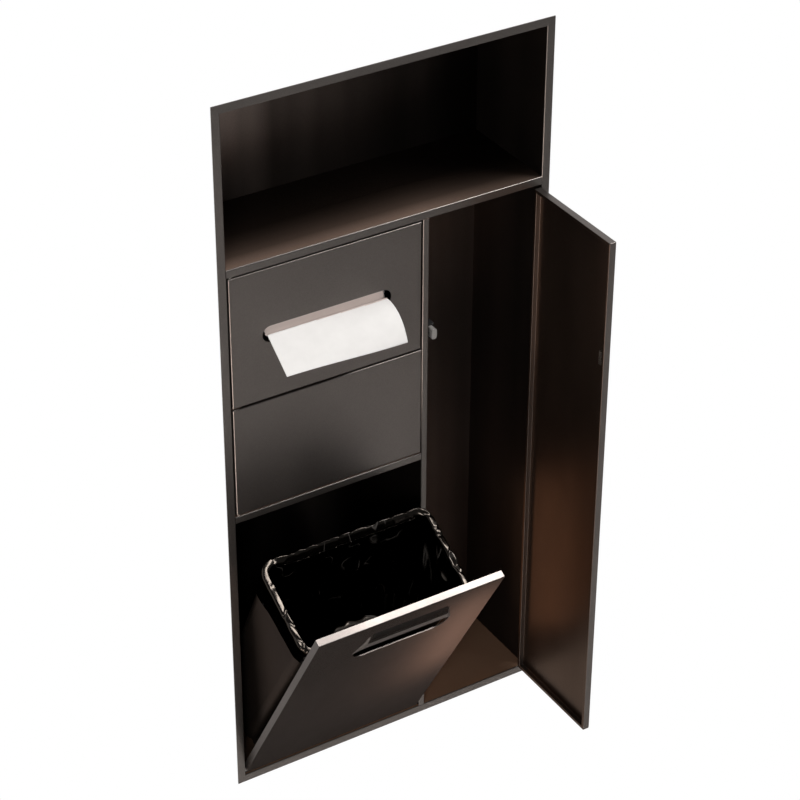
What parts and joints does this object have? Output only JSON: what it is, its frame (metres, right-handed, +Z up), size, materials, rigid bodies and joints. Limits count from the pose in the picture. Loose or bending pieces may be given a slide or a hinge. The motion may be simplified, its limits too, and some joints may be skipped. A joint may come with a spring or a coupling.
{
  "type": "recessed bathroom storage niche",
  "caption": "Recessed wall niche of folded gunmetal sheet with an open shelf, a paper towel door, a storage door, a tilting bin and a tall hinged door",
  "frame": {"origin": "middle of the back panel's rear face", "axes": "+X to the right seen from the room, +Y into the wall, +Z up"},
  "size_m": [0.42, 0.3161, 0.9],
  "materials": {
    "gunmetal_housing": "satin gunmetal coating on folded stainless sheet",
    "gunmetal_door": "satin gunmetal coating on folded stainless sheet",
    "bright_steel": "bare turned or pressed steel",
    "black_plastic": "moulded black plastic",
    "pale_plastic": "moulded pale plastic",
    "white_nylon": "moulded nylon",
    "bucket_steel": "satin gunmetal coating on a pressed steel bucket",
    "bin_liner": "thin black film, creased",
    "paper": "soft embossed paper"
  },
  "bodies": {
    "cabinet": {"left_side_panel": "gunmetal_housing", "right_side_panel": "gunmetal_housing", "bottom_panel": "gunmetal_housing", "top_panel": "gunmetal_housing", "back_panel": "gunmetal_housing", "niche_shelf": "gunmetal_housing", "divider": "gunmetal_housing", "middle_shelf": "gunmetal_housing", "bin_rail": "gunmetal_housing", "upper_pivot_pin": "bright_steel", "middle_pivot_pin": "bright_steel", "lower_pivot_pin": "bright_steel", "bin_pivot_pins": "bright_steel", "frame_hinge_leaves": "gunmetal_housing", "hinge_pins": "bright_steel", "tall_latch_body": "black_plastic", "tissue_latch_body": "black_plastic", "storage_latch_body": "black_plastic", "latch_screws": "bright_steel", "bin_stay_guide": "bright_steel"},
    "tall_door": {"tall_door_panel": "gunmetal_door", "tall_door_hinge_leaves": "gunmetal_door", "tall_door_strike": "bright_steel"},
    "tissue_door": {"tissue_door_panel": "gunmetal_door", "tissue_door_bushes": "white_nylon", "tissue_door_strike": "bright_steel", "tissue_pocket": "gunmetal_housing", "tissue_pack": "paper", "tissue_sheet": "paper"},
    "storage_door": {"storage_door_panel": "gunmetal_door", "storage_door_bushes": "white_nylon", "storage_door_strike": "bright_steel"},
    "bin": {"bin_door_panel": "gunmetal_door", "bin_door_bushes": "white_nylon", "bin_ledge": "gunmetal_housing", "bin_screws": "bright_steel", "bucket_rest_bar": "gunmetal_housing", "bin_stay": "bright_steel"},
    "bucket": {"bucket": "bucket_steel", "bin_bag": "bin_liner"},
    "tall_plunger": {"tall_latch_plunger": "pale_plastic"},
    "tissue_plunger": {"tissue_latch_plunger": "pale_plastic"},
    "storage_plunger": {"storage_latch_plunger": "pale_plastic"}
  },
  "joints": [
    {"name": "tall_door_hinge", "type": "hinge", "parent": "cabinet", "child": "tall_door", "pos_m": [0.199, -0.1365, 0], "axis": [0, 0, 1], "range_deg": [-90, 80]},
    {"name": "tissue_door_hinge", "type": "hinge", "parent": "cabinet", "child": "tissue_door", "pos_m": [-0.194, -0.132, 0], "axis": [0, 0, -1], "range_deg": [0, 100]},
    {"name": "storage_door_hinge", "type": "hinge", "parent": "cabinet", "child": "storage_door", "pos_m": [-0.194, -0.132, 0], "axis": [0, 0, -1], "range_deg": [0, 100]},
    {"name": "bin_tilt", "type": "hinge", "parent": "cabinet", "child": "bin", "pos_m": [-0.078, -0.1325, -0.4345], "axis": [1, 0, 0], "range_deg": [-30, 0]},
    {"name": "bucket_lift", "type": "slide", "parent": "bin", "child": "bucket", "axis": [0, -0.5, 0.866], "range_m": [0, 0.03]},
    {"name": "tall_latch_push", "type": "slide", "parent": "cabinet", "child": "tall_plunger", "axis": [0, 1, 0], "range_m": [0, 0.0035], "stiffness_N_per_m": 300},
    {"name": "tissue_latch_push", "type": "slide", "parent": "cabinet", "child": "tissue_plunger", "axis": [0, 1, 0], "range_m": [0, 0.0035], "stiffness_N_per_m": 300},
    {"name": "storage_latch_push", "type": "slide", "parent": "cabinet", "child": "storage_plunger", "axis": [0, 1, 0], "range_m": [0, 0.0035], "stiffness_N_per_m": 300}
  ]
}
